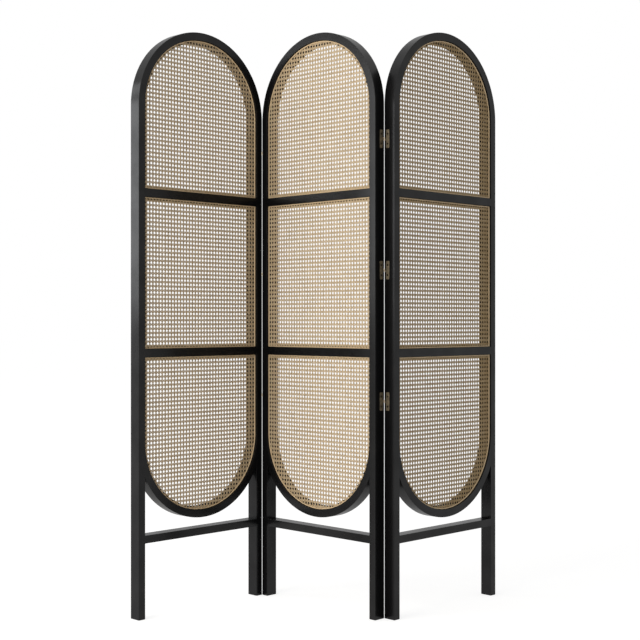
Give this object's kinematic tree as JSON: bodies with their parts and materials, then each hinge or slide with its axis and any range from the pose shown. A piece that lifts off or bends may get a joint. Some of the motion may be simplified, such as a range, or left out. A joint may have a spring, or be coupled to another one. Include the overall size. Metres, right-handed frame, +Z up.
{
  "type": "cane room divider",
  "caption": "Folding screen of tall arched panels in black lacquered wood with woven cane fields, hinged to stand in a zig-zag or fold flat.",
  "frame": {"origin": "at floor level under the middle of the middle panel, which is also the middle of the whole screen as it stands", "axes": "+X along the middle panel to its right-hand end, -Y out of the middle panel's face, +Z up"},
  "size_m": [0.5814, 1.0414, 1.7999],
  "materials": {
    "black_lacquer": "satin black lacquer on solid wood",
    "cane": "natural woven cane",
    "reed": "natural rattan reed",
    "tenon_wood": "bare beech",
    "antique_brass": "antique brass, dulled"
  },
  "bodies": {
    "middle_panel": {"left_hinge_pins": "antique_brass", "left_lower_hinge_centre_leaf": "antique_brass", "left_middle_hinge_centre_leaf": "antique_brass", "left_upper_hinge_centre_leaf": "antique_brass", "middle_panel_bottom_arch": "black_lacquer", "middle_panel_bottom_cane": "cane", "middle_panel_left_leg": "black_lacquer", "middle_panel_loose_tenons": "tenon_wood", "middle_panel_lower_rail": "black_lacquer", "middle_panel_middle_cane": "cane", "middle_panel_reed_splines": "reed", "middle_panel_right_leg": "black_lacquer", "middle_panel_stretcher": "black_lacquer", "middle_panel_top_arch": "black_lacquer", "middle_panel_top_cane": "cane", "middle_panel_upper_rail": "black_lacquer", "right_hinge_pins": "antique_brass", "right_lower_hinge_centre_leaf": "antique_brass", "right_middle_hinge_centre_leaf": "antique_brass", "right_upper_hinge_centre_leaf": "antique_brass"},
    "left_panel": {"left_lower_hinge_side_leaf": "antique_brass", "left_middle_hinge_side_leaf": "antique_brass", "left_panel_bottom_arch": "black_lacquer", "left_panel_bottom_cane": "cane", "left_panel_left_leg": "black_lacquer", "left_panel_loose_tenons": "tenon_wood", "left_panel_lower_rail": "black_lacquer", "left_panel_middle_cane": "cane", "left_panel_reed_splines": "reed", "left_panel_right_leg": "black_lacquer", "left_panel_stretcher": "black_lacquer", "left_panel_top_arch": "black_lacquer", "left_panel_top_cane": "cane", "left_panel_upper_rail": "black_lacquer", "left_upper_hinge_side_leaf": "antique_brass"},
    "right_panel": {"right_lower_hinge_side_leaf": "antique_brass", "right_middle_hinge_side_leaf": "antique_brass", "right_panel_bottom_arch": "black_lacquer", "right_panel_bottom_cane": "cane", "right_panel_left_leg": "black_lacquer", "right_panel_loose_tenons": "tenon_wood", "right_panel_lower_rail": "black_lacquer", "right_panel_middle_cane": "cane", "right_panel_reed_splines": "reed", "right_panel_right_leg": "black_lacquer", "right_panel_stretcher": "black_lacquer", "right_panel_top_arch": "black_lacquer", "right_panel_top_cane": "cane", "right_panel_upper_rail": "black_lacquer", "right_upper_hinge_side_leaf": "antique_brass"}
  },
  "joints": [
    {"name": "left_fold", "type": "hinge", "parent": "middle_panel", "child": "left_panel", "pos_m": [-0.2504, -0.02025, 1.05], "axis": [0, 0, 1], "range_deg": [-90, 90]},
    {"name": "right_fold", "type": "hinge", "parent": "middle_panel", "child": "right_panel", "pos_m": [0.2504, 0.02025, 1.05], "axis": [0, 0, 1], "range_deg": [-90, 90]}
  ]
}
